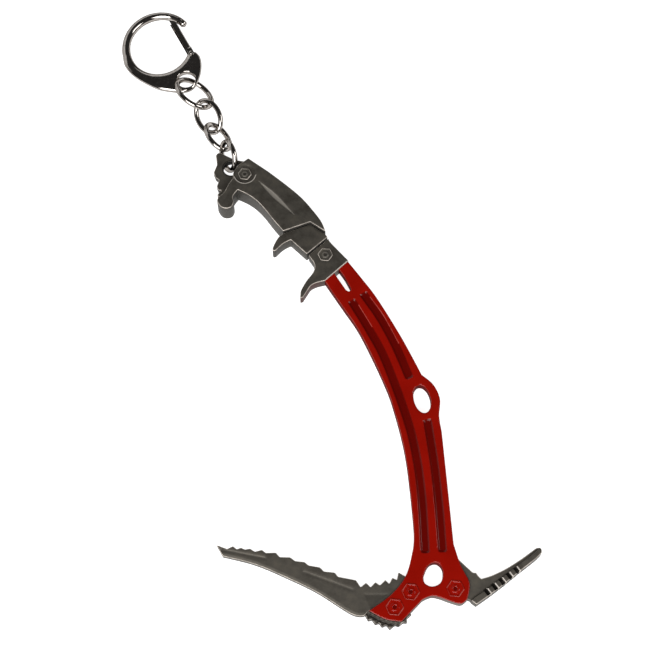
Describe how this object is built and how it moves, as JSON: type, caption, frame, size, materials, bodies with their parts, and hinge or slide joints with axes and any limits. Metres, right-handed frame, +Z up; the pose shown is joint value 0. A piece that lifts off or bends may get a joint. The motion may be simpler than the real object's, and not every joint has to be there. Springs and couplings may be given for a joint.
{
  "type": "miniature ice axe",
  "caption": "Miniature technical ice axe with a curved red shaft, toothed pick, hammer and adze, hooked metal handle, short chain and sprung snap clasp.",
  "frame": {"origin": "under the middle of the whole length and width, on the surface that the axe lies on", "axes": "+Z up from the axe's broad back face, +Y along the length from the head to the clasp, +X across it, from the pick's side to the adze's side"},
  "size_m": [0.1398, 0.2228, 0.0109],
  "materials": {
    "red_paint": "glossy",
    "antique_metal": "satin",
    "gunmetal_chrome": "polished",
    "spring_steel": "satin"
  },
  "bodies": {
    "axe": {"shaft": "red_paint", "pick": "antique_metal", "hammer": "antique_metal", "adze": "antique_metal", "ferrule": "antique_metal", "guard": "antique_metal", "pommel_plate": "antique_metal", "grip_front_scale": "antique_metal", "grip_back_scale": "antique_metal", "pick_front_bolt": "red_paint", "pick_front_nut": "red_paint", "pick_rear_bolt": "red_paint", "pick_rear_nut": "red_paint", "adze_bolt": "red_paint", "adze_nut": "red_paint", "ferrule_bolt": "antique_metal", "ferrule_nut": "antique_metal", "grip_bolt": "antique_metal", "grip_nut": "antique_metal"},
    "jump_ring": {"jump_ring": "gunmetal_chrome"},
    "chain_link_3": {"chain_link_3": "gunmetal_chrome"},
    "chain_link_2": {"chain_link_2": "gunmetal_chrome"},
    "chain_link_1": {"chain_link_1": "gunmetal_chrome"},
    "clasp": {"clasp_body": "gunmetal_chrome", "gate_pin": "gunmetal_chrome"},
    "gate": {"clasp_gate": "gunmetal_chrome", "gate_spring": "spring_steel"}
  },
  "joints": [
    {"name": "jump_ring_swing", "type": "hinge", "parent": "axe", "child": "jump_ring", "pos_m": [-0.02941, 0.04963, 0.0042], "axis": [0.9292, -0.3695, 0], "range_deg": [-15, 50]},
    {"name": "chain_link_3_swing", "type": "hinge", "parent": "jump_ring", "child": "chain_link_3", "pos_m": [-0.03287, 0.05672, 0.006], "axis": [0.3687, 0.0371, 0.9288], "range_deg": [-55, 50]},
    {"name": "chain_link_2_swing", "type": "hinge", "parent": "chain_link_3", "child": "chain_link_2", "pos_m": [-0.0372, 0.06569, 0.00301], "axis": [0.7632, 0.1791, -0.6209], "range_deg": [-60, 60]},
    {"name": "chain_link_1_swing", "type": "hinge", "parent": "chain_link_2", "child": "chain_link_1", "pos_m": [-0.04141, 0.07327, 0.00535], "axis": [0.7473, 0.3088, 0.5884], "range_deg": [-60, 60]},
    {"name": "clasp_swing", "type": "hinge", "parent": "chain_link_1", "child": "clasp", "pos_m": [-0.04669, 0.08189, 0.00378], "axis": [0.7761, 0.2135, -0.5934], "range_deg": [-40, 50]},
    {"name": "gate_hinge", "type": "hinge", "parent": "clasp", "child": "gate", "pos_m": [-0.04515, 0.09353, 0.00335], "axis": [-0.0443, 0.0647, 0.9969], "range_deg": [0, 35], "stiffness_Nm_per_rad": 0.01, "springref_deg": -28.65}
  ]
}
